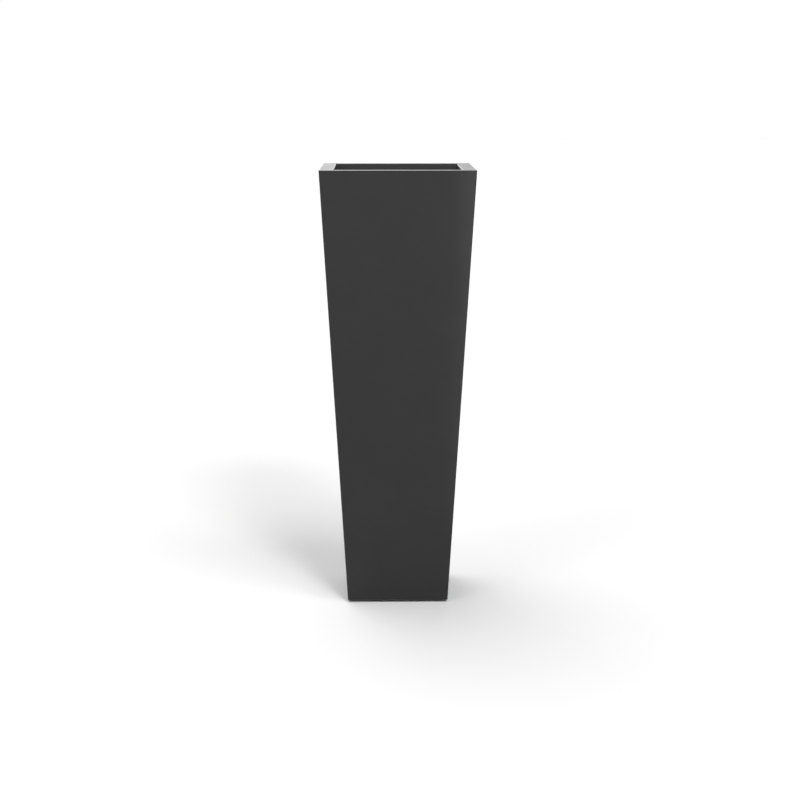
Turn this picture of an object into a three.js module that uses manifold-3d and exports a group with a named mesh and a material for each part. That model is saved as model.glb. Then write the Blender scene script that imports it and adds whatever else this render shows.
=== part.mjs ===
// A tall, square, tapered floor planter in glass-fibre reinforced plastic.
//
// The body is one hollow moulding: four flat walls that lean outwards, a flat rim turned inwards at
// the top with a stiffening lip turned down inside it, and a narrow return turned inwards at the foot.
// A pan is lowered through the mouth and bonded onto that return. Its floor falls to a drain hole,
// closed by a rubber plug. A loose, ribbed shelf is also lowered through the mouth and stops where
// the walls close in on it, about half way down. The whole stands on four rubber pads.
//
// Millimetres, +Z up. The origin is on the floor, under the middle of the planter.
import * as THREE from "three";
import { mergeVertices } from "three/addons/utils/BufferGeometryUtils.js";
import Module from "manifold-3d";

const wasm = await Module();
wasm.setup();

// ---- Driving dimensions ----
const HEIGHT = 915;
const TOP_WIDTH = 318; // across the outside, where the walls turn over into the rim
const FOOT_WIDTH = 212; // the same, at the foot
const LAMINATE = 4; // thickness of the moulding
const RIM_WIDTH = 29; // flat rim, from the outer edge to the mouth
const LIP_DEPTH = 30; // from the top of the rim to the trimmed edge of the lip
const FOOT_RETURN = 24; // width of the return under the pan
const EDGE_ROUND = 1; // moulded outer edges at the rim and the foot
const GAP = 0.3; // room between pieces that are bonded or rest on each other
const PAD_HEIGHT = 5;
const PAD_RADIUS = 10;
const DRAIN_RADIUS = 12;
const SHELF_WIDTH = 250; // across its top; the mouth is 10 mm wider

// Radii of the upright corners, seen from above
const OUTER_CORNER = 2;
const INNER_CORNER = 6;
const MOUTH_CORNER = 3;
const FOOT_OPENING_CORNER = 36; // leaves room for a pad at each corner of the return

// How many flat steps make a quarter turn
const CORNER_STEPS = 6;
const EDGE_STEPS = 4;

// ---- Dimensions that follow from them ----
const FOOT_Z = PAD_HEIGHT; // underside of the moulding
const PAN_Z = FOOT_Z + LAMINATE; // top of the foot return, where the pan rests
const WALL_TOP_Z = HEIGHT - EDGE_ROUND;
const TAPER = (TOP_WIDTH - FOOT_WIDTH) / 2 / (WALL_TOP_Z - FOOT_Z); // outward lean of a wall for each mm up
const WALL_ACROSS = LAMINATE * Math.hypot(1, TAPER); // the wall's thickness along a level line
const MOUTH_HALF = TOP_WIDTH / 2 - RIM_WIDTH;

const outerHalf = (z) => FOOT_WIDTH / 2 + TAPER * (z - FOOT_Z);
const innerHalf = (z) => outerHalf(z) - WALL_ACROSS;

// The height at which the walls are as wide apart inside as a loose piece of that half width
const seatHeight = (half) => FOOT_Z + (half + GAP + WALL_ACROSS - FOOT_WIDTH / 2) / TAPER;
const SHELF_Z = seatHeight(SHELF_WIDTH / 2);

// ---- Materials ----
const finish = (color, roughness) => new THREE.MeshStandardMaterial({ color, roughness, metalness: 0 });
const charcoalGelcoat = finish(0x3b3b3c, 0.55);
const laminate = finish(0x2b2b2b, 0.8);
const shelfPlastic = finish(0x1c1c1d, 0.6);
const blackRubber = finish(0x151515, 0.85);

// ---- Square forms ----

// One level ring of points: a square with round corners, anticlockwise from above. A ring of no width
// is a single point on the axis.
function squareRing({ half, z, corner }) {
  if (half === 0) return [new THREE.Vector3(0, 0, z)];
  const ring = [];
  const reach = half - corner;
  for (let quarter = 0; quarter < 4; quarter++) {
    const middle = ((quarter + 0.5) * Math.PI) / 2;
    const centre = [Math.sign(Math.cos(middle)) * reach, Math.sign(Math.sin(middle)) * reach];
    for (let step = 0; step <= CORNER_STEPS; step++) {
      const turn = ((quarter + step / CORNER_STEPS) * Math.PI) / 2;
      ring.push(new THREE.Vector3(centre[0] + corner * Math.cos(turn), centre[1] + corner * Math.sin(turn), z));
    }
  }
  return ring;
}

// Rounds the points of a profile that carry a radius in round. A ring's corner radius shrinks or grows
// with its half width there, so that the rounding has the same size along the sides and the corners.
function rounded(profile, closed) {
  const points = [];
  profile.forEach((point, i) => {
    const isEnd = !closed && (i === 0 || i === profile.length - 1);
    if (!point.round || isEnd) {
      points.push(point);
      return;
    }
    const at = new THREE.Vector2(point.half, point.z);
    const toward = (other) => new THREE.Vector2(other.half, other.z).sub(at).normalize();
    const before = toward(profile.at(i - 1));
    const after = toward(profile[(i + 1) % profile.length]);
    const halfAngle = Math.acos(before.dot(after)) / 2;
    const bisector = before.clone().add(after).normalize();
    const centre = at.clone().addScaledVector(bisector, point.round / Math.sin(halfAngle));
    const start = at.clone().addScaledVector(before, point.round / Math.tan(halfAngle)).sub(centre);
    const end = at.clone().addScaledVector(after, point.round / Math.tan(halfAngle)).sub(centre);
    const sweep = Math.atan2(start.cross(end), start.dot(end));
    for (let step = 0; step <= EDGE_STEPS; step++) {
      const p = start.clone().rotateAround(new THREE.Vector2(), (sweep * step) / EDGE_STEPS).add(centre);
      points.push({ half: p.x, z: p.y, corner: point.corner + p.x - point.half });
    }
  });
  return points;
}

// The square counterpart of a lathe: carries a profile of half width against height round a square
// with round corners. The profile runs up its outer side first, then inwards. It either starts and
// ends on the axis or, with closed set, joins up with itself and leaves a tube.
function squareLathe(profile, closed = false) {
  const rings = rounded(profile, closed).map(squareRing);
  const positions = [];
  const firsts = [];
  for (const ring of rings) {
    firsts.push(positions.length / 3);
    for (const p of ring) positions.push(p.x, p.y, p.z);
  }
  const around = 4 * (CORNER_STEPS + 1);
  const index = [];
  const face = (a, b, c) => {
    if (a !== b && b !== c && c !== a) index.push(a, b, c);
  };
  const last = closed ? rings.length : rings.length - 1;
  for (let i = 0; i < last; i++) {
    const next = (i + 1) % rings.length;
    for (let j = 0; j < around; j++) {
      const at = (row, column) => firsts[row] + (rings[row].length === 1 ? 0 : column % around);
      face(at(i, j), at(i, j + 1), at(next, j + 1));
      face(at(i, j), at(next, j + 1), at(next, j));
    }
  }
  const geometry = new THREE.BufferGeometry();
  geometry.setAttribute("position", new THREE.Float32BufferAttribute(positions, 3));
  geometry.setIndex(index);
  return geometry;
}

// ---- Joining and cutting ----

function toSolid(geometry) {
  const bare = geometry.clone();
  bare.deleteAttribute("normal");
  bare.deleteAttribute("uv");
  const merged = mergeVertices(bare, 1e-4);
  const triVerts = new Uint32Array(merged.index.array);
  const vertProperties = new Float32Array(merged.attributes.position.array);
  return new wasm.Manifold(new wasm.Mesh({ numProp: 3, vertProperties, triVerts }));
}

function toGeometry(solid) {
  const mesh = solid.getMesh();
  const geometry = new THREE.BufferGeometry();
  geometry.setAttribute("position", new THREE.BufferAttribute(new Float32Array(mesh.vertProperties), 3));
  geometry.setIndex(new THREE.BufferAttribute(new Uint32Array(mesh.triVerts), 1));
  return geometry;
}

const join = (...geometries) => toGeometry(geometries.map(toSolid).reduce((a, b) => a.add(b)));
const cut = (body, ...tools) => toGeometry(tools.map(toSolid).reduce((a, b) => a.subtract(b), toSolid(body)));

// ---- Round forms ----

// A profile of [radius, height] pairs from axis to axis, turned about Z
function turned(profile, steps = 40) {
  const points = profile.map(([r, z]) => new THREE.Vector2(r, z));
  return new THREE.LatheGeometry(points, steps).rotateX(Math.PI / 2);
}

function cylinder(radius, lowZ, highZ, x = 0, y = 0) {
  return turned([[0, lowZ], [radius, lowZ], [radius, highZ], [0, highZ]]).translate(x, y, 0);
}

// An upright slot with round ends, long side along Y
function slotTool(width, length, lowZ, highZ, x, y) {
  const r = width / 2;
  const reach = length / 2 - r;
  const outline = new THREE.Shape()
    .absarc(0, reach, r, 0, Math.PI)
    .absarc(0, -reach, r, Math.PI, 2 * Math.PI);
  const tool = new THREE.ExtrudeGeometry(outline, { depth: highZ - lowZ, bevelEnabled: false, curveSegments: 12 });
  return tool.translate(x, y, lowZ);
}

// ---- The moulded body ----

function makeShell() {
  const rimUnderZ = HEIGHT - LAMINATE;
  const lipZ = HEIGHT - LIP_DEPTH;
  const returnHalf = FOOT_WIDTH / 2 - FOOT_RETURN;
  const coveRound = 6; // resin runs into the inside of each turn
  return squareLathe(
    [
      { half: outerHalf(FOOT_Z), z: FOOT_Z, corner: OUTER_CORNER, round: EDGE_ROUND },
      { half: outerHalf(HEIGHT), z: HEIGHT, corner: OUTER_CORNER, round: EDGE_ROUND },
      { half: MOUTH_HALF, z: HEIGHT, corner: MOUTH_CORNER, round: EDGE_ROUND },
      { half: MOUTH_HALF, z: lipZ, corner: MOUTH_CORNER },
      { half: MOUTH_HALF + LAMINATE, z: lipZ, corner: MOUTH_CORNER + LAMINATE },
      { half: MOUTH_HALF + LAMINATE, z: rimUnderZ, corner: MOUTH_CORNER + LAMINATE, round: coveRound },
      { half: innerHalf(rimUnderZ), z: rimUnderZ, corner: INNER_CORNER + coveRound, round: coveRound },
      { half: innerHalf(PAN_Z), z: PAN_Z, corner: INNER_CORNER },
      { half: returnHalf, z: PAN_Z, corner: FOOT_OPENING_CORNER },
      { half: returnHalf, z: FOOT_Z, corner: FOOT_OPENING_CORNER },
    ],
    true,
  );
}

// ---- The bonded pan, with its floor, upstand, drain hole and the seat of the plug ----

const PAN_FLANGE = 24; // height of the upstand that is bonded to the walls
const PAN_UPSTAND = 3.5; // its thickness
const PAN_CENTRE = 5.5; // thickness of the floor at the drain
const PAN_EDGE = 8; // and along the walls, so that water runs to the drain
const SEAT_RADIUS = 19;
const SEAT_DEPTH = 1.5;
const SEAT_Z = PAN_Z + PAN_CENTRE - SEAT_DEPTH;

function makeBasePan() {
  const topZ = PAN_Z + PAN_FLANGE;
  const outer = (z) => innerHalf(z) - GAP;
  const coveRound = 7;
  const corner = INNER_CORNER + 2;
  const pan = squareLathe([
    { half: 0, z: PAN_Z },
    { half: outer(PAN_Z), z: PAN_Z, corner },
    { half: outer(topZ), z: topZ, corner, round: 1 },
    { half: outer(topZ) - PAN_UPSTAND, z: topZ, corner: corner - 1, round: 1 },
    { half: outer(PAN_Z) - PAN_UPSTAND, z: PAN_Z + PAN_EDGE, corner: corner + 2, round: coveRound },
    { half: SEAT_RADIUS + 4, z: PAN_Z + PAN_CENTRE, corner: SEAT_RADIUS },
    { half: 0, z: PAN_Z + PAN_CENTRE },
  ]);
  const hole = cylinder(DRAIN_RADIUS, PAN_Z - 1, PAN_Z + PAN_EDGE);
  const seat = cylinder(SEAT_RADIUS, SEAT_Z, PAN_Z + PAN_EDGE);
  return cut(pan, hole, seat);
}

// ---- The drain plug: a round stopper with a sealing flange and a pull loop ----

function makeDrainPlug() {
  const ribRadius = DRAIN_RADIUS - 0.4;
  const shankRadius = ribRadius - 0.9;
  const endZ = PAD_HEIGHT;
  const flangeRadius = SEAT_RADIUS - 1;
  const flangeTop = SEAT_Z + 2.5;
  const sealingRib = (z) => [
    [shankRadius, z - 0.9],
    [ribRadius, z - 0.3],
    [ribRadius, z + 0.3],
    [shankRadius, z + 0.9],
  ];
  const body = turned([
    [0, endZ],
    [shankRadius - 1, endZ],
    [shankRadius, endZ + 1],
    ...sealingRib(SEAT_Z - 4.5),
    ...sealingRib(SEAT_Z - 1.8),
    [shankRadius, SEAT_Z],
    [flangeRadius - 0.8, SEAT_Z],
    [flangeRadius, SEAT_Z + 0.8],
    [flangeRadius - 0.3, flangeTop - 0.5],
    [flangeRadius - 1.2, flangeTop],
    [0, flangeTop],
  ]);
  return join(body, makePullLoop(flangeTop));
}

// An upright loop, big enough for a fingertip, its lower part sunk into the plug
function makePullLoop(rootZ) {
  const radius = 8.5; // to the middle of the band
  const bandHalf = 2;
  const bandStretch = 1.4; // the band is this much wider than it is thick
  const rise = 6; // height of the loop's middle above the flange
  return new THREE.TorusGeometry(radius, bandHalf, 12, 36)
    .scale(1, 1, bandStretch)
    .rotateX(Math.PI / 2)
    .translate(0, 0, rootZ + rise);
}

// ---- The loose shelf: an upturned ribbed tray that stops on the leaning walls ----

const SHELF_PLATE = 3.5;
const SHELF_SKIRT = 2.5; // thickness of its skirt
const SKIRT_DEPTH = 24;
const RIB_DEPTH = 16;
const RIB_WIDTH = 2.4;
const RIB_OFFSET = 40; // ribs at this distance either side of the middle, both ways
const CELL_MIDDLE = 82; // middle of an outer cell between the ribs and the skirt
const DRIP_HOLE_RADIUS = 7;
const HAND_SLOT = { width: 26, length: 60 };

function makeShelf() {
  const skirtZ = SHELF_Z - SKIRT_DEPTH;
  const plateZ = SHELF_Z - SHELF_PLATE;
  const outer = (z) => innerHalf(z) - GAP;
  const corner = INNER_CORNER + 2;
  const tray = squareLathe([
    { half: 0, z: plateZ },
    { half: outer(plateZ) - SHELF_SKIRT, z: plateZ, corner: corner - SHELF_SKIRT + 0.5, round: 2 },
    { half: outer(skirtZ) - SHELF_SKIRT, z: skirtZ, corner: corner - SHELF_SKIRT + 0.5 },
    { half: outer(skirtZ), z: skirtZ, corner },
    { half: outer(SHELF_Z), z: SHELF_Z, corner, round: 1.5 },
    { half: 0, z: SHELF_Z },
  ]);
  const ribLength = 2 * (outer(skirtZ) - SHELF_SKIRT / 2);
  const rib = (x, y, alongY) =>
    new THREE.BoxGeometry(alongY ? RIB_WIDTH : ribLength, alongY ? ribLength : RIB_WIDTH, RIB_DEPTH + 1)
      .translate(x, y, plateZ - RIB_DEPTH / 2 + 0.5);
  const ribs = [-RIB_OFFSET, RIB_OFFSET].flatMap((at) => [rib(at, 0, true), rib(0, at, false)]);
  const low = skirtZ - 1;
  const high = SHELF_Z + 1;
  const places = [-CELL_MIDDLE, 0, CELL_MIDDLE].flatMap((y) => [-CELL_MIDDLE, 0, CELL_MIDDLE].map((x) => [x, y]));
  const isHandSlot = ([x, y]) => y === 0 && x !== 0;
  const holes = places.map((at) =>
    isHandSlot(at)
      ? slotTool(HAND_SLOT.width, HAND_SLOT.length, low, high, ...at)
      : cylinder(DRIP_HOLE_RADIUS, low, high, ...at),
  );
  return cut(join(tray, ...ribs), ...holes);
}

// ---- The foot pads ----

const PAD_INSET = 27; // from a pad's middle to the foot's outer faces

function makeFootPad() {
  const chamfer = 1;
  return turned(
    [
      [0, 0],
      [PAD_RADIUS - chamfer, 0],
      [PAD_RADIUS, chamfer],
      [PAD_RADIUS, PAD_HEIGHT],
      [0, PAD_HEIGHT],
    ],
    32,
  );
}

// ---- Assembly ----

const planter = new THREE.Group();

function place(name, geometry, material, x = 0, y = 0) {
  const mesh = new THREE.Mesh(geometry, material);
  mesh.name = name;
  mesh.position.set(x, y, 0);
  planter.add(mesh);
}

place("shell", makeShell(), charcoalGelcoat);
place("base_pan", makeBasePan(), laminate);
place("drain_plug", makeDrainPlug(), blackRubber);
place("insert_shelf", makeShelf(), shelfPlastic);

const padReach = FOOT_WIDTH / 2 - PAD_INSET;
for (const [end, y] of [["front", -padReach], ["back", padReach]])
  for (const [side, x] of [["left", -padReach], ["right", padReach]])
    place(`foot_pad_${end}_${side}`, makeFootPad(), blackRubber, x, y);

export default planter;
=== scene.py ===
"""The looks of a tall, square, tapered floor planter in charcoal glass-fibre laminate.

The frame gives where each piece lies. Here each one is modelled again, finer: the moulded shell with its
wavy hand-laid inside, the bonded pan and its bead of resin, the rubber plug, the ribbed shelf and the foot
pads. Metres, +Z up, the front towards -Y.
"""
import math
from collections import namedtuple

import bpy
import numpy as np
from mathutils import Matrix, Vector, noise


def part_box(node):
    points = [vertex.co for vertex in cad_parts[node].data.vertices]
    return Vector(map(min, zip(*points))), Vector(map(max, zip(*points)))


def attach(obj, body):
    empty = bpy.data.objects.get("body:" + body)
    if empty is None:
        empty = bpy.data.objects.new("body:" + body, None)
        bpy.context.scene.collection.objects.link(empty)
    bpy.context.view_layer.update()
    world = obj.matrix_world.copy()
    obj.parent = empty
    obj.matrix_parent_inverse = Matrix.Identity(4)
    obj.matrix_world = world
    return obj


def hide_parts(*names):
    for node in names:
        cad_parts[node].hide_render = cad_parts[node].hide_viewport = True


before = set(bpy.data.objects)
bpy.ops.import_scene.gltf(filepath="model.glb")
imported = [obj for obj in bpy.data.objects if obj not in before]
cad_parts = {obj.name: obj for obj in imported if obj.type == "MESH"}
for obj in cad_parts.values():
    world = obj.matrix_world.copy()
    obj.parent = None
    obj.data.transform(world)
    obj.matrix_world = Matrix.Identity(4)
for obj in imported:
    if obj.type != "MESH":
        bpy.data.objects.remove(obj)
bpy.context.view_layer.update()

MM = 0.001

# ---- Sizes of the moulding, as on the CAD part apart from the round of the mouth ----
HEIGHT = 915 * MM
TOP_HALF = 159 * MM  # half the width outside, where the walls turn over into the rim
FOOT_HALF = 106 * MM
LAMINATE = 4 * MM
RIM_WIDTH = 29 * MM
LIP_DEPTH = 30 * MM
FOOT_RETURN = 24 * MM
EDGE_ROUND = 1 * MM
MOUTH_ROUND = 3 * MM  # the edge where the rim turns down into the mouth; the CAD part has 1 mm there
COVE_ROUND = 6 * MM
OUTER_CORNER = 2 * MM
INNER_CORNER = 6 * MM
MOUTH_CORNER = 3 * MM
FOOT_OPENING_CORNER = 36 * MM
GAP = 0.3 * MM

FOOT_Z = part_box("shell")[0].z
PAN_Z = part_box("base_pan")[0].z
PAN_TOP_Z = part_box("base_pan")[1].z
SHELF_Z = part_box("insert_shelf")[1].z
SKIRT_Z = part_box("insert_shelf")[0].z
TAPER = (TOP_HALF - FOOT_HALF) / (HEIGHT - EDGE_ROUND - FOOT_Z)
WALL_ACROSS = LAMINATE * math.hypot(1, TAPER)
MOUTH_HALF = TOP_HALF - RIM_WIDTH

EDGE_MARGIN = 0.8 * MM  # how far from a rounded edge the first split of a flat face lies

# ---- Sizes of the pan and the plug ----
PAN_UPSTAND = 3.5 * MM
PAN_CENTRE = 5.5 * MM
PAN_EDGE = 8 * MM
SEAT_RADIUS = 19 * MM
SEAT_Z = PAN_Z + PAN_CENTRE - 1.5 * MM
DRAIN_RADIUS = 12 * MM

# ---- Sizes of the shelf ----
SHELF_PLATE = 3.5 * MM
SHELF_SKIRT = 2.5 * MM
RIB_DEPTH = 16 * MM
RIB_WIDTH = 2.4 * MM
RIB_OFFSET = 40 * MM
CELL_MIDDLE = 82 * MM
DRIP_HOLE_RADIUS = 7 * MM
HAND_SLOT_WIDTH = 26 * MM
HAND_SLOT_LENGTH = 60 * MM


def outer_half(z):
    return FOOT_HALF + TAPER * (z - FOOT_Z)


def inner_half(z):
    return outer_half(z) - WALL_ACROSS


# ---- Square and round forms ----

# A point of a profile: half width, height, radius of the upright corners, radius of the edge that the
# profile turns there, and the material of the stretch from this point to the next.
Point = namedtuple("Point", "half z corner round part", defaults=(0.0, 0.0, 0))


def rounded(profile, closed, steps):
    """Turns each point that has a round into an arc."""
    points = []
    for i, point in enumerate(profile):
        at_end = not closed and i in (0, len(profile) - 1)
        if not point.round or at_end:
            points.append(point)
            continue
        at = Vector((point.half, point.z))
        previous = profile[i - 1]
        following = profile[(i + 1) % len(profile)]
        before = (Vector((previous.half, previous.z)) - at).normalized()
        after = (Vector((following.half, following.z)) - at).normalized()
        half_angle = before.angle(after) / 2
        centre = at + (before + after).normalized() * (point.round / math.sin(half_angle))
        reach = point.round / math.tan(half_angle)
        start = at + before * reach - centre
        end = at + after * reach - centre
        sweep = math.atan2(start.x * end.y - start.y * end.x, start.dot(end))
        for step in range(steps + 1):
            turn = sweep * step / steps
            x = start.x * math.cos(turn) - start.y * math.sin(turn) + centre.x
            z = start.x * math.sin(turn) + start.y * math.cos(turn) + centre.y
            part = point.part if step == steps else previous.part
            points.append(Point(x, z, point.corner + x - point.half, point.round, part))
    return points


def shares(length, longest):
    """Where to split a straight stretch: evenly, and close to both ends so that it shades as flat."""
    pieces = math.ceil(length / longest)
    if pieces < 2:
        return []
    return [EDGE_MARGIN / length, *(piece / pieces for piece in range(1, pieces)), 1 - EDGE_MARGIN / length]


def divided(points, closed, longest):
    """Splits the long stretches of a profile, so that none is longer than longest."""
    result = []
    for i, point in enumerate(points):
        result.append(point)
        if i == len(points) - 1 and not closed:
            break
        following = points[(i + 1) % len(points)]
        length = math.hypot(following.half - point.half, following.z - point.z)
        for t in shares(length, longest):
            half, z, corner = (a + (b - a) * t for a, b in zip(point[:3], following[:3]))
            result.append(Point(half, z, corner, 0.0, point.part))
    return result


def square_ring(half, corner, corner_steps, side_shares):
    """A square with round corners as an array of x and y, anticlockwise, and how far each is on a corner."""
    ring = []
    on_corner = []
    reach = half - corner
    for quarter in range(4):
        middle = (quarter + 0.5) * math.pi / 2
        centre = np.array((math.copysign(reach, math.cos(middle)), math.copysign(reach, math.sin(middle))))
        for step in range(corner_steps + 1):
            turn = (quarter + step / corner_steps) * math.pi / 2
            ring.append(centre + corner * np.array((math.cos(turn), math.sin(turn))))
            on_corner.append(1.0)
        corner_end = ring[-1]
        side = 2 * reach * np.array((-math.sin(turn), math.cos(turn)))
        for share in side_shares:
            ring.append(corner_end + side * share)
            on_corner.append(0.0)
    return np.array(ring), np.array(on_corner)


def square_lathe(name, profile, closed=False, longest=1.0, corner_steps=8, edge_steps=6):
    """Carries a profile round a square with round corners, as a new object.

    A point whose corner isn't smaller than its half width gives a circle, and one of no width a point on
    the axis. Each vertex gets an attribute edge: 1 on a rounded edge or an upright corner.
    """
    points = divided(rounded(profile, closed, edge_steps), closed, longest)
    first_square = next(p for p in points if p.half > p.corner)
    side_shares = shares(2 * (first_square.half - first_square.corner), longest)
    square, _ = square_ring(first_square.half, first_square.corner, corner_steps, side_shares)
    directions = square / np.linalg.norm(square, axis=1)[:, None]
    around = len(square)
    vertices = []
    edge = []
    starts = []
    for i, p in enumerate(points):
        starts.append(len(vertices))
        if p.half == 0:
            vertices.append((0.0, 0.0, p.z))
            edge.append(0.0)
            continue
        if p.corner >= p.half:
            ring, on_corner = directions * p.half, np.zeros(around)
        else:
            ring, on_corner = square_ring(p.half, p.corner, corner_steps, side_shares)
        vertices.extend((x, y, p.z) for x, y in ring)
        rise = abs(points[(i + 1) % len(points)].z - points[i - 1].z)
        if p.round:
            edge.extend(np.ones(around))
        else:
            edge.extend(on_corner if rise > EDGE_MARGIN else np.zeros(around))
    faces = []
    materials = []
    for i in range(len(points) if closed else len(points) - 1):
        following = (i + 1) % len(points)
        ends = [(starts[i], points[i].half == 0), (starts[following], points[following].half == 0)]
        for j in range(around):
            k = (j + 1) % around
            corners = []
            for (start, on_axis), column in zip((ends[0], ends[0], ends[1], ends[1]), (j, k, k, j)):
                index = start if on_axis else start + column
                if index not in corners:
                    corners.append(index)
            faces.append(corners)
            materials.append(points[i].part)
    obj = new_mesh(name, vertices, faces)
    obj.data.polygons.foreach_set("material_index", np.array(materials, np.int32))
    attribute = obj.data.attributes.new("edge", "FLOAT", "POINT")
    attribute.data.foreach_set("value", np.array(edge, np.float32))
    return obj


def new_mesh(name, vertices, faces):
    mesh = bpy.data.meshes.new(name)
    mesh.from_pydata([tuple(v) for v in vertices], [], faces)
    obj = bpy.data.objects.new(name, mesh)
    bpy.context.scene.collection.objects.link(obj)
    return obj


def turned(name, profile, steps=64):
    """A profile of (radius, z) points from axis to axis, turned about Z."""
    vertices = []
    starts = []
    for r, z in profile:
        starts.append(len(vertices))
        turns = [2 * math.pi * s / steps for s in range(steps)] if r else [0.0]
        vertices.extend((r * math.cos(t), r * math.sin(t), z) for t in turns)
    faces = []
    for i in range(len(profile) - 1):
        for j in range(steps):
            k = (j + 1) % steps
            corners = []
            for row, column in ((i, j), (i, k), (i + 1, k), (i + 1, j)):
                index = starts[row] + (column if profile[row][0] else 0)
                if index not in corners:
                    corners.append(index)
            faces.append(corners)
    return new_mesh(name, vertices, faces)


def stadium_cutter(radius, reach, low, high, break_edge, x, y, steps=16):
    """A tool for a slot with round ends, or for a hole if reach is 0.

    It also breaks the edge at the top face.
    """
    past_face = 1 * MM
    break_steps = 3
    levels = [(0.0, low - past_face)]
    for step in range(break_steps + 1):
        turn = step / break_steps * math.pi / 2
        levels.append((break_edge * (1 - math.cos(turn)), high - break_edge * (1 - math.sin(turn))))
    levels.append((break_edge, high + past_face))
    vertices = []
    for spread, z in levels:
        for end, first in ((1, 0.0), (-1, math.pi)):
            for step in range(steps + 1 if reach else steps):
                turn = first + math.pi * step / steps
                r = radius + spread
                vertices.append((x + r * math.cos(turn), y + end * reach + r * math.sin(turn), z))
    around = len(vertices) // len(levels)
    faces = [list(range(around))[::-1], list(range(len(vertices) - around, len(vertices)))]
    for i in range(len(levels) - 1):
        for j in range(around):
            k = (j + 1) % around
            faces.append([i * around + j, i * around + k, (i + 1) * around + k, (i + 1) * around + j])
    return new_mesh("cutter", vertices, faces)


# ---- Changing meshes ----

def apply_modifiers(obj):
    """Replaces the object's mesh with what its modifiers make of it."""
    depsgraph = bpy.context.evaluated_depsgraph_get()
    evaluated = obj.evaluated_get(depsgraph)
    made = bpy.data.meshes.new_from_object(evaluated, preserve_all_data_layers=True, depsgraph=depsgraph)
    obj.modifiers.clear()
    old, name = obj.data, obj.data.name
    obj.data = made
    bpy.data.meshes.remove(old)
    made.name = name


def combine(body, others, operation):
    """Joins or cuts body with other closed meshes, which are then removed."""
    for other in others:
        modifier = body.modifiers.new(operation, "BOOLEAN")
        modifier.operation = operation
        modifier.solver = "EXACT"
        modifier.object = other
    apply_modifiers(body)
    for other in others:
        bpy.data.objects.remove(other)


def smooth_shading(obj, sharp_over_degrees=35):
    """Smooth over rounded edges, while the flats between them shade as flat."""
    mesh = obj.data
    mesh.polygons.foreach_set("use_smooth", np.ones(len(mesh.polygons), bool))
    mesh.set_sharp_from_angle(angle=math.radians(sharp_over_degrees))
    weighted = obj.modifiers.new("weighted_normals", "WEIGHTED_NORMAL")
    weighted.keep_sharp = True
    apply_modifiers(obj)


def sink(obj, part, depth_at):
    """Moves the vertices of one part of the mesh into the material, by depth_at(place) for each."""
    mesh = obj.data
    inside = np.zeros(len(mesh.vertices), bool)
    outside = np.zeros(len(mesh.vertices), bool)
    for polygon in mesh.polygons:
        (inside if polygon.material_index == part else outside)[list(polygon.vertices)] = True
    normals = [v.normal.copy() for v in mesh.vertices]
    for vertex, normal in zip(mesh.vertices, normals):
        if inside[vertex.index] and not outside[vertex.index]:
            vertex.co -= normal * depth_at(vertex.co)
    mesh.update()


# ---- Materials ----

def new_material(name):
    material = bpy.data.materials.new(name)
    material.use_nodes = True
    nodes = material.node_tree.nodes
    return material, nodes, material.node_tree.links, nodes["Principled BSDF"]


def object_coordinates(nodes):
    return nodes.new("ShaderNodeTexCoord").outputs["Object"]


def noise_texture(nodes, links, vector, scale, detail=3.0, roughness=0.5):
    texture = nodes.new("ShaderNodeTexNoise")
    texture.inputs["Scale"].default_value = scale
    texture.inputs["Detail"].default_value = detail
    texture.inputs["Roughness"].default_value = roughness
    links.new(vector, texture.inputs["Vector"])
    return texture.outputs["Fac"]


def map_range(nodes, links, value, low, high, new_low, new_high):
    node = nodes.new("ShaderNodeMapRange")
    node.inputs["From Min"].default_value = low
    node.inputs["From Max"].default_value = high
    node.inputs["To Min"].default_value = new_low
    node.inputs["To Max"].default_value = new_high
    links.new(value, node.inputs["Value"])
    return node.outputs["Result"]


def math_node(nodes, links, operation, a, b):
    node = nodes.new("ShaderNodeMath")
    node.operation = operation
    for socket, value in zip(node.inputs, (a, b)):
        if isinstance(value, (int, float)):
            socket.default_value = value
        else:
            links.new(value, socket)
    return node.outputs[0]


def mix_color(nodes, links, factor, a, b):
    node = nodes.new("ShaderNodeMix")
    node.data_type = "RGBA"
    links.new(factor, node.inputs["Factor"])
    for socket, value in ((node.inputs["A"], a), (node.inputs["B"], b)):
        if isinstance(value, tuple):
            socket.default_value = (*value, 1.0)
        else:
            links.new(value, socket)
    return node.outputs["Result"]


def bump(nodes, links, height, distance, strength=1.0, normal=None):
    node = nodes.new("ShaderNodeBump")
    node.inputs["Distance"].default_value = distance
    node.inputs["Strength"].default_value = strength
    links.new(height, node.inputs["Height"])
    if normal is not None:
        links.new(normal, node.inputs["Normal"])
    return node.outputs["Normal"]


def grey(value, warmth=0.0):
    return (value * (1 + warmth), value, value * (1 - warmth))


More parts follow.
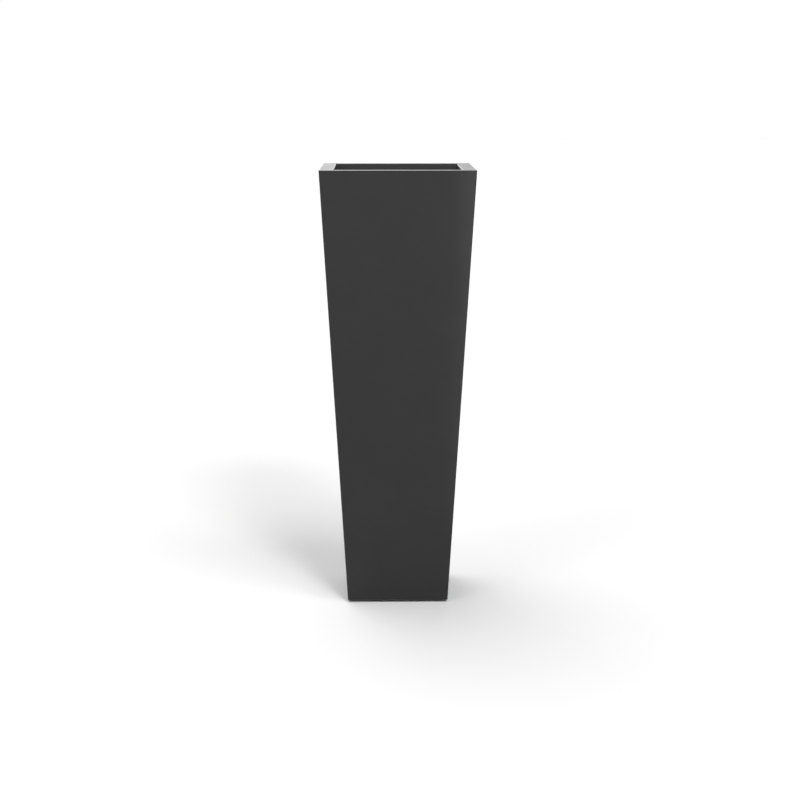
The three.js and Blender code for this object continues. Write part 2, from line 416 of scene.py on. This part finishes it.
def gelcoat_material(name, shades, polish):
    """Charcoal gelcoat with faint mottling, fine grain and orange peel; painted light makes it a little paler
    towards the top.

    Handling has worn its edges smoother. polish is the roughness at the left and right of the moulding.
    """
    material, nodes, links, shader = new_material(name)
    place = object_coordinates(nodes)
    across = nodes.new("ShaderNodeSeparateXYZ")
    links.new(place, across.inputs[0])
    clouds = map_range(nodes, links, noise_texture(nodes, links, place, 9.0, 4.0), 0.3, 0.7, 0.0, 0.35)
    # Painted light: the colour grows paler from 0.4 of the height up to the top, for light falling brighter
    # high on the wall.
    painted_top_light = map_range(nodes, links, across.outputs["Z"], 0.4 * HEIGHT, HEIGHT, 0.0, 0.65)
    mottle_and_painted_light = math_node(nodes, links, "ADD", clouds, painted_top_light)
    mottled_with_painted_light = mix_color(nodes, links, mottle_and_painted_light, grey(shades[0]), grey(shades[1]))
    grain = map_range(nodes, links, noise_texture(nodes, links, place, 900.0, 2.0), 0.62, 0.75, 0.0, 0.3)
    speckled_with_painted_light = mix_color(nodes, links, grain, mottled_with_painted_light, grey(1.7 * shades[0]))
    edge = nodes.new("ShaderNodeAttribute")
    edge.attribute_name = "edge"
    rubbed = map_range(nodes, links, noise_texture(nodes, links, place, 130.0, 4.0), 0.35, 0.65, 0.1, 0.7)
    worn = math_node(nodes, links, "MULTIPLY", edge.outputs["Fac"], rubbed)
    links.new(mix_color(nodes, links, worn, speckled_with_painted_light, grey(1.5 * shades[0])), shader.inputs["Base Color"])
    dull = map_range(nodes, links, across.outputs["X"], -TOP_HALF, TOP_HALF, *polish)
    smudges = noise_texture(nodes, links, place, 25.0, 5.0, 0.6)
    smudged = map_range(nodes, links, smudges, 0.3, 0.7, -0.02, 0.02)
    gloss = map_range(nodes, links, worn, 0.0, 0.7, 0.0, 0.13)
    roughness = math_node(nodes, links, "SUBTRACT", math_node(nodes, links, "ADD", dull, smudged), gloss)
    links.new(roughness, shader.inputs["Roughness"])
    shader.inputs["IOR"].default_value = 1.26
    peel = noise_texture(nodes, links, place, 240.0, 1.0)
    fine = noise_texture(nodes, links, place, 1600.0, 2.0)
    normal = bump(nodes, links, peel, 0.05 * MM)
    normal = bump(nodes, links, fine, 0.02 * MM, 1.0, normal)
    links.new(normal, shader.inputs["Normal"])
    return material


def flattened_coordinates(nodes, links):
    """Two coordinates that lie along the surface, level or upright, whichever way it faces."""
    share_of_z = 0.7
    place = nodes.new("ShaderNodeSeparateXYZ")
    links.new(object_coordinates(nodes), place.inputs[0])
    slope = math_node(nodes, links, "MULTIPLY", place.outputs["Z"], share_of_z)
    flat = nodes.new("ShaderNodeCombineXYZ")
    for axis in ("X", "Y"):
        links.new(math_node(nodes, links, "ADD", place.outputs[axis], slope), flat.inputs[axis])
    return flat.outputs["Vector"]


def strands(nodes, links, flat, angle, width, length):
    """Noise drawn out into strands of glass that lie at one angle on the surface."""
    mapping = nodes.new("ShaderNodeMapping")
    mapping.vector_type = "TEXTURE"
    mapping.inputs["Location"].default_value = (angle, -angle, 0)
    mapping.inputs["Rotation"].default_value = (0, 0, angle)
    mapping.inputs["Scale"].default_value = (width, length, 1)
    links.new(flat, mapping.inputs["Vector"])
    return noise_texture(nodes, links, mapping.outputs["Vector"], 1.0, 1.0)


def laminate_material(name, base, light, roughness, relief):
    """Hand-laid laminate under a flow coat: chopped strands that cross, and puddles of resin."""
    strand_width = 2.2 * MM
    strand_length = 38 * MM
    layers = 7
    uneven = 0.3  # how far every second layer is turned from an even spread, as a share of the step
    material, nodes, links, shader = new_material(name)
    flat = flattened_coordinates(nodes, links)
    height = None
    for layer in range(layers):
        angle = (layer + uneven * (layer % 2)) * math.pi / layers
        strand = strands(nodes, links, flat, angle, strand_width, strand_length)
        height = strand if height is None else math_node(nodes, links, "MAXIMUM", height, strand)
    puddles = noise_texture(nodes, links, object_coordinates(nodes), 45.0, 3.0)
    wet = map_range(nodes, links, puddles, 0.4, 0.62, 0.0, 1.0)
    tint = map_range(nodes, links, height, 0.6, 0.8, 0.0, 1.0)
    color = mix_color(nodes, links, tint, grey(base), grey(light, 0.03))
    links.new(color, shader.inputs["Base Color"])
    links.new(map_range(nodes, links, wet, 0.0, 1.0, roughness + 0.12, roughness), shader.inputs["Roughness"])
    normal = bump(nodes, links, height, relief)
    normal = bump(nodes, links, puddles, 0.6 * MM, 0.6, normal)
    links.new(normal, shader.inputs["Normal"])
    return material


def moulded_plastic_material():
    """Black recycled plastic with a fine pebbled grain and a film of dust where it faces up."""
    material, nodes, links, shader = new_material("shelf_plastic")
    place = object_coordinates(nodes)
    pebbles = nodes.new("ShaderNodeTexVoronoi")
    pebbles.feature = "SMOOTH_F1"
    pebbles.inputs["Scale"].default_value = 900.0
    links.new(place, pebbles.inputs["Vector"])
    facing = nodes.new("ShaderNodeSeparateXYZ")
    links.new(nodes.new("ShaderNodeNewGeometry").outputs["Normal"], facing.inputs[0])
    up = map_range(nodes, links, facing.outputs["Z"], 0.7, 1.0, 0.0, 0.35)
    drift = map_range(nodes, links, noise_texture(nodes, links, place, 18.0, 5.0), 0.35, 0.7, 0.1, 1.0)
    dust = math_node(nodes, links, "MULTIPLY", up, drift)
    links.new(mix_color(nodes, links, dust, grey(0.022), grey(0.07, 0.05)), shader.inputs["Base Color"])
    links.new(map_range(nodes, links, dust, 0.0, 0.35, 0.54, 0.7), shader.inputs["Roughness"])
    links.new(bump(nodes, links, pebbles.outputs["Distance"], 0.08 * MM), shader.inputs["Normal"])
    return material


def rubber_material():
    """Black rubber, dull, with a faint grey bloom."""
    material, nodes, links, shader = new_material("black_rubber")
    place = object_coordinates(nodes)
    bloom = map_range(nodes, links, noise_texture(nodes, links, place, 140.0, 4.0), 0.4, 0.75, 0.0, 0.6)
    links.new(mix_color(nodes, links, bloom, grey(0.009), grey(0.022)), shader.inputs["Base Color"])
    links.new(map_range(nodes, links, bloom, 0.0, 0.6, 0.62, 0.8), shader.inputs["Roughness"])
    fine = noise_texture(nodes, links, place, 1500.0, 2.0)
    links.new(bump(nodes, links, fine, 0.03 * MM), shader.inputs["Normal"])
    return material


def resin_material():
    """Bonding resin, thick and glossy, pigmented black."""
    material, nodes, links, shader = new_material("bonding_resin")
    place = object_coordinates(nodes)
    streaks = noise_texture(nodes, links, place, 90.0, 3.0)
    thin = map_range(nodes, links, streaks, 0.4, 0.7, 0.0, 1.0)
    links.new(mix_color(nodes, links, thin, grey(0.012), grey(0.03, 0.08)), shader.inputs["Base Color"])
    links.new(map_range(nodes, links, streaks, 0.3, 0.7, 0.18, 0.35), shader.inputs["Roughness"])
    links.new(bump(nodes, links, streaks, 0.2 * MM), shader.inputs["Normal"])
    return material


# ---- The pieces ----

OUTSIDE, LIP, INSIDE, TRIMMED = range(4)  # materials of the shell


def make_shell():
    rim_under_z = HEIGHT - LAMINATE
    lip_z = HEIGHT - LIP_DEPTH
    return_half = FOOT_HALF - FOOT_RETURN
    outer_top = outer_half(HEIGHT)
    shell = square_lathe(
        "shell_moulding",
        [
            Point(outer_half(FOOT_Z), FOOT_Z, OUTER_CORNER, EDGE_ROUND, OUTSIDE),
            Point(outer_top, HEIGHT, OUTER_CORNER, EDGE_ROUND, OUTSIDE),
            Point(MOUTH_HALF, HEIGHT, MOUTH_CORNER, MOUTH_ROUND, LIP),
            Point(MOUTH_HALF, lip_z, MOUTH_CORNER, 0, TRIMMED),
            Point(MOUTH_HALF + LAMINATE, lip_z, MOUTH_CORNER + LAMINATE, 0, INSIDE),
            Point(MOUTH_HALF + LAMINATE, rim_under_z, MOUTH_CORNER + LAMINATE, COVE_ROUND, INSIDE),
            Point(inner_half(rim_under_z), rim_under_z, INNER_CORNER + COVE_ROUND, COVE_ROUND, INSIDE),
            Point(inner_half(PAN_Z), PAN_Z, INNER_CORNER, 0, INSIDE),
            Point(return_half, PAN_Z, FOOT_OPENING_CORNER, 0, TRIMMED),
            Point(return_half, FOOT_Z, FOOT_OPENING_CORNER, 0, OUTSIDE),
        ],
        closed=True,
        longest=7 * MM,
    )

    def hand_laid(place):
        depth = 0.55 * MM
        coarse = noise.noise(place * 26.0)
        lumps = noise.noise(place * 85.0 + Vector((3.0, 1.0, 7.0)))
        return (0.55 + 0.35 * coarse + 0.3 * lumps) * depth

    sink(shell, INSIDE, hand_laid)
    shell.data.materials.append(gelcoat_material("gelcoat_charcoal", (0.0192, 0.0240), (0.14, 0.195)))
    # Painted light: the lip's gelcoat is made nearly twice as pale as the outside's, so the shaded lip in the
    # mouth looks as bright as the front wall.
    shell.data.materials.append(gelcoat_material("gelcoat_unbuffed_painted_light", (0.038, 0.042), (0.42, 0.42)))
    shell.data.materials.append(laminate_material("laminate_inside", 0.060, 0.120, 0.42, 0.35 * MM))
    shell.data.materials.append(laminate_material("laminate_cut", 0.05, 0.13, 0.6, 0.2 * MM))
    smooth_shading(shell)
    return shell


def make_pan():
    def outer(z):
        return inner_half(z) - GAP

    corner = INNER_CORNER + 2 * MM
    edge_z = PAN_Z + PAN_EDGE
    pan = square_lathe(
        "pan_laminate",
        [
            Point(DRAIN_RADIUS, PAN_Z, DRAIN_RADIUS, 0.4 * MM),
            Point(outer(PAN_Z), PAN_Z, corner),
            Point(outer(PAN_TOP_Z), PAN_TOP_Z, corner, 1 * MM),
            Point(outer(PAN_TOP_Z) - PAN_UPSTAND, PAN_TOP_Z, corner - 1 * MM, 1 * MM),
            Point(outer(PAN_Z) - PAN_UPSTAND, edge_z, corner + 2 * MM, 7 * MM),
            Point(SEAT_RADIUS + 4 * MM, PAN_Z + PAN_CENTRE, SEAT_RADIUS + 4 * MM),
            Point(SEAT_RADIUS, PAN_Z + PAN_CENTRE, SEAT_RADIUS, 0.5 * MM),
            Point(SEAT_RADIUS, SEAT_Z, SEAT_RADIUS, 0.3 * MM),
            Point(DRAIN_RADIUS, SEAT_Z, DRAIN_RADIUS, 0.3 * MM),
        ],
        closed=True,
        longest=6 * MM,
    )
    pan.data.materials.append(laminate_material("laminate_pan", 0.045, 0.090, 0.34, 0.3 * MM))
    smooth_shading(pan)
    return pan


def make_resin_bead():
    """The fillet of bonding resin between the top of the pan's upstand and the wall."""
    low = PAN_TOP_Z - 0.9 * MM
    high = PAN_TOP_Z + 4.0 * MM
    against_wall = 0.05 * MM
    bead = square_lathe(
        "resin_bead",
        [
            Point(inner_half(low) - GAP / 2, low, INNER_CORNER),
            Point(inner_half(high) - against_wall, high, INNER_CORNER),
            Point(inner_half(high) - 1.0 * MM, high - 0.9 * MM, INNER_CORNER),
            Point(inner_half(PAN_TOP_Z) - 2.6 * MM, PAN_TOP_Z + 0.9 * MM, INNER_CORNER),
            Point(inner_half(PAN_TOP_Z) - 3.1 * MM, PAN_TOP_Z + 0.1 * MM, INNER_CORNER),
            Point(inner_half(PAN_TOP_Z) - GAP - 0.9 * MM, PAN_TOP_Z + 0.05 * MM, INNER_CORNER),
            Point(inner_half(low) - GAP + 0.02 * MM, low, INNER_CORNER),
        ],
        closed=True,
        longest=4 * MM,
    )
    for vertex in bead.data.vertices:
        if vertex.co.z > PAN_TOP_Z + 0.5 * MM:
            swell = noise.noise(vertex.co * 60.0)
            vertex.co.z += (swell - 0.3) * 1.2 * MM
    bead.data.materials.append(resin_material())
    smooth_shading(bead, 60)
    return bead


def make_plug():
    rib_radius = DRAIN_RADIUS - 0.4 * MM
    shank_radius = rib_radius - 0.9 * MM
    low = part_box("drain_plug")[0].z
    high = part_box("drain_plug")[1].z
    flange_radius = SEAT_RADIUS - 1 * MM
    flange_top = SEAT_Z + 2.5 * MM

    def sealing_rib(z):
        return [
            (shank_radius, z - 0.9 * MM),
            (rib_radius, z - 0.3 * MM),
            (rib_radius, z + 0.3 * MM),
            (shank_radius, z + 0.9 * MM),
        ]

    plug = turned(
        "plug_rubber",
        [
            (0, low),
            (shank_radius - 1 * MM, low),
            (shank_radius, low + 1 * MM),
            *sealing_rib(SEAT_Z - 4.5 * MM),
            *sealing_rib(SEAT_Z - 1.8 * MM),
            (shank_radius, SEAT_Z),
            (flange_radius - 0.8 * MM, SEAT_Z),
            (flange_radius, SEAT_Z + 0.8 * MM),
            (flange_radius - 0.3 * MM, flange_top - 0.5 * MM),
            (flange_radius - 1.2 * MM, flange_top),
            (0, flange_top),
        ],
    )
    band_half = 2 * MM
    radius = 8.5 * MM
    loop = make_loop(radius, band_half, 1.4, high - radius - band_half)
    combine(plug, [loop], "UNION")
    remesh = plug.modifiers.new("moulded", "REMESH")
    remesh.mode = "VOXEL"
    remesh.voxel_size = 0.33 * MM
    soften = plug.modifiers.new("soft_edges", "SMOOTH")
    soften.factor = 0.5
    soften.iterations = 5
    apply_modifiers(plug)
    plug.data.materials.clear()
    plug.data.materials.append(rubber_material())
    smooth_shading(plug, 70)
    return plug


def make_loop(radius, band_half, stretch, middle_z, around=48, section=16):
    """An upright ring in the XZ plane, wider along Y than it is thick."""
    vertices = []
    for i in range(around):
        turn = 2 * math.pi * i / around
        for j in range(section):
            tilt = 2 * math.pi * j / section
            r = radius + band_half * math.cos(tilt)
            y = band_half * stretch * math.sin(tilt)
            vertices.append((r * math.cos(turn), y, middle_z + r * math.sin(turn)))
    faces = []
    for i in range(around):
        start = i * section
        next_start = (i + 1) % around * section
        for j in range(section):
            k = (j + 1) % section
            faces.append([start + j, start + k, next_start + k, next_start + j])
    return new_mesh("loop", vertices, faces)


def make_shelf():
    def outer(z):
        return inner_half(z) - GAP

    corner = INNER_CORNER + 2 * MM
    plate_z = SHELF_Z - SHELF_PLATE
    inner_corner = corner - SHELF_SKIRT + 0.5 * MM
    shelf = square_lathe(
        "shelf_tray",
        [
            Point(0, plate_z, 0),
            Point(outer(plate_z) - SHELF_SKIRT, plate_z, inner_corner, 2 * MM),
            Point(outer(SKIRT_Z) - SHELF_SKIRT, SKIRT_Z, inner_corner, 0.5 * MM),
            Point(outer(SKIRT_Z), SKIRT_Z, corner, 0.5 * MM),
            Point(outer(SHELF_Z), SHELF_Z, corner, 1.5 * MM),
            Point(0, SHELF_Z, 0),
        ],
        corner_steps=10,
    )
    rib_half_length = outer(SKIRT_Z) - SHELF_SKIRT / 2
    ribs = [
        rib(at, rib_half_length, along_y, plate_z)
        for at in (-RIB_OFFSET, RIB_OFFSET)
        for along_y in (True, False)
    ]
    combine(shelf, ribs, "UNION")
    places = (-CELL_MIDDLE, 0.0, CELL_MIDDLE)
    cutters = []
    for x in places:
        for y in places:
            is_hand_slot = y == 0 and x != 0
            radius = HAND_SLOT_WIDTH / 2 if is_hand_slot else DRIP_HOLE_RADIUS
            reach = HAND_SLOT_LENGTH / 2 - radius if is_hand_slot else 0.0
            break_edge = (1.2 if is_hand_slot else 0.6) * MM
            cutters.append(stadium_cutter(radius, reach, plate_z, SHELF_Z, break_edge, x, y))
    combine(shelf, cutters, "DIFFERENCE")
    shelf.data.materials.clear()
    shelf.data.materials.append(moulded_plastic_material())
    smooth_shading(shelf)
    return shelf


def rib(at, half_length, along_y, plate_z):
    """A stiffening rib under the plate, a little thinner at its edge so that it leaves the mould."""
    draft = 0.3 * MM
    into_plate = 0.5 * MM
    root = RIB_WIDTH / 2
    vertices = []
    for width, z in ((root - draft, plate_z - RIB_DEPTH), (root, plate_z + into_plate)):
        for side, end in ((-1, -1), (1, -1), (1, 1), (-1, 1)):
            across = at + side * width
            along = end * half_length
            vertices.append((across, along, z) if along_y else (along, across, z))
    edge_and_root = [[3, 2, 1, 0], [4, 5, 6, 7]]
    sides = [[j, (j + 1) % 4, (j + 1) % 4 + 4, j + 4] for j in range(4)]
    faces = edge_and_root + sides
    if not along_y:
        faces = [face[::-1] for face in faces]
    return new_mesh("rib", vertices, faces)


def make_foot_pad(node, material):
    """A round pad with a rolled edge and a grooved underside."""
    low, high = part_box(node)
    radius = (high.x - low.x) / 2
    x = (low.x + high.x) / 2
    y = (low.y + high.y) / 2
    edge = 0.7 * MM
    edge_steps = 5
    rolled = [
        (radius - edge + edge * math.sin(t), low.z + edge - edge * math.cos(t))
        for t in (step / edge_steps * math.pi / 2 for step in range(edge_steps + 1))
    ]
    groove_depth = 0.4 * MM
    groove_slope = 0.3 * MM
    groove_width = 1.2 * MM
    grooves = []
    for groove in (4.0 * MM, 8.0 * MM):
        groove_end = groove + groove_width
        grooves += [
            (groove, low.z),
            (groove + groove_slope, low.z + groove_depth),
            (groove_end - groove_slope, low.z + groove_depth),
            (groove_end, low.z),
        ]
    profile = [(0, low.z), *grooves, *rolled, (radius, high.z), (0, high.z)]
    pad = turned(node.replace("foot_pad", "pad"), profile)
    for vertex in pad.data.vertices:
        vertex.co.x += x
        vertex.co.y += y
    pad.data.materials.append(material)
    smooth_shading(pad)
    return pad


# ---- The studio ----

def make_camera():
    data = bpy.data.cameras.new("camera")
    data.sensor_width = 36
    data.lens = 76.58
    data.clip_end = 100
    camera = bpy.data.objects.new("camera", data)
    camera.location = (-0.0332, -3.5881, 1.0888)
    pitch_down = 0.18469
    turn_right = 0.0109
    camera.rotation_euler = (math.pi / 2 - pitch_down, 0, -turn_right)
    bpy.context.scene.collection.objects.link(camera)
    bpy.context.scene.camera = camera


def make_sun(name, azimuth, elevation, spread, strength):
    """A soft light from far off. Azimuth is from the front towards +X; angles are in degrees."""
    data = bpy.data.lights.new(name, "SUN")
    data.energy = strength
    data.angle = math.radians(spread)
    light = bpy.data.objects.new(name, data)
    a, e = math.radians(azimuth), math.radians(elevation)
    towards = Vector((math.sin(a) * math.cos(e), -math.cos(a) * math.cos(e), math.sin(e)))
    light.rotation_euler = towards.to_track_quat("Z", "Y").to_euler()
    light.location = towards * 4
    bpy.context.scene.collection.objects.link(light)


def make_reflected_strip():
    """A tall, narrow softbox close to the front wall, which shows only in gloss.

    From the camera's side it is the paler band on the right of the wall.
    """
    distance = 0.35
    data = bpy.data.lights.new("strip", "AREA")
    data.shape = "RECTANGLE"
    data.size = 0.10
    data.size_y = 0.95
    radiance = 1.80
    data.energy = radiance * math.pi * data.size * data.size_y
    light = bpy.data.objects.new("strip", data)
    left_side = 0.153
    light.location = (left_side + data.size / 2, -TOP_HALF - distance, data.size_y / 2)
    light.rotation_euler = (math.pi / 2, 0, 0)
    light.visible_camera = False
    light.visible_diffuse = False
    bpy.context.scene.collection.objects.link(light)


def make_world(overhead, horizon):
    """A pale studio all round: bright walls up to a low height, and a dimmer ceiling."""
    world = bpy.data.worlds.new("studio")
    world.use_nodes = True
    nodes, links = world.node_tree.nodes, world.node_tree.links
    direction = nodes.new("ShaderNodeSeparateXYZ")
    links.new(nodes.new("ShaderNodeTexCoord").outputs["Generated"], direction.inputs[0])
    walls_end = math.sin(math.radians(8))
    ceiling_starts = math.sin(math.radians(20))
    strength = map_range(nodes, links, direction.outputs["Z"], walls_end, ceiling_starts, horizon, overhead)
    links.new(strength, nodes["Background"].inputs["Strength"])
    nodes["Background"].inputs["Color"].default_value = (1, 1, 1, 1)
    bpy.context.scene.world = world


def make_floor(albedo):
    reach = 30.0
    floor = new_mesh(
        "floor",
        [(-reach, -reach, 0), (reach, -reach, 0), (reach, reach, 0), (-reach, reach, 0)],
        [[0, 1, 2, 3]],
    )
    material, _, _, shader = new_material("pale_floor")
    shader.inputs["Base Color"].default_value = (albedo, albedo, albedo, 1)
    shader.inputs["Roughness"].default_value = 0.9
    shader.inputs["Specular IOR Level"].default_value = 0.0
    floor.data.materials.append(material)


# ---- Putting it together ----

make_camera()
make_world(overhead=0.136, horizon=1.02)
make_sun("key_left", azimuth=-42, elevation=14, spread=24, strength=0.250 * math.pi)
make_sun("key_middle", azimuth=19, elevation=37, spread=13, strength=0.392 * math.pi)
make_sun("key_high", azimuth=35, elevation=59, spread=32, strength=0.421 * math.pi)
make_sun("back_low", azimuth=-164, elevation=52, spread=33, strength=0.137 * math.pi)
make_sun("back_high", azimuth=-143, elevation=70, spread=42, strength=0.484 * math.pi)
make_sun("fill", azimuth=-37, elevation=51, spread=55, strength=0.133 * math.pi)
make_reflected_strip()
make_floor(albedo=0.692)
bpy.context.scene.view_settings.view_transform = "Standard"

shell = make_shell()
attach(shell, "planter")
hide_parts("shell")

pan = make_pan()
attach(pan, "planter")
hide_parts("base_pan")

bead = make_resin_bead()
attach(bead, "planter")

plug = make_plug()
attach(plug, "plug")
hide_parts("drain_plug")

shelf = make_shelf()
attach(shelf, "shelf")
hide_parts("insert_shelf")

rubber = rubber_material()
for node in sorted(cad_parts):
    if node.startswith("foot_pad"):
        pad = make_foot_pad(node, rubber)
        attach(pad, "planter")
        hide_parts(node)
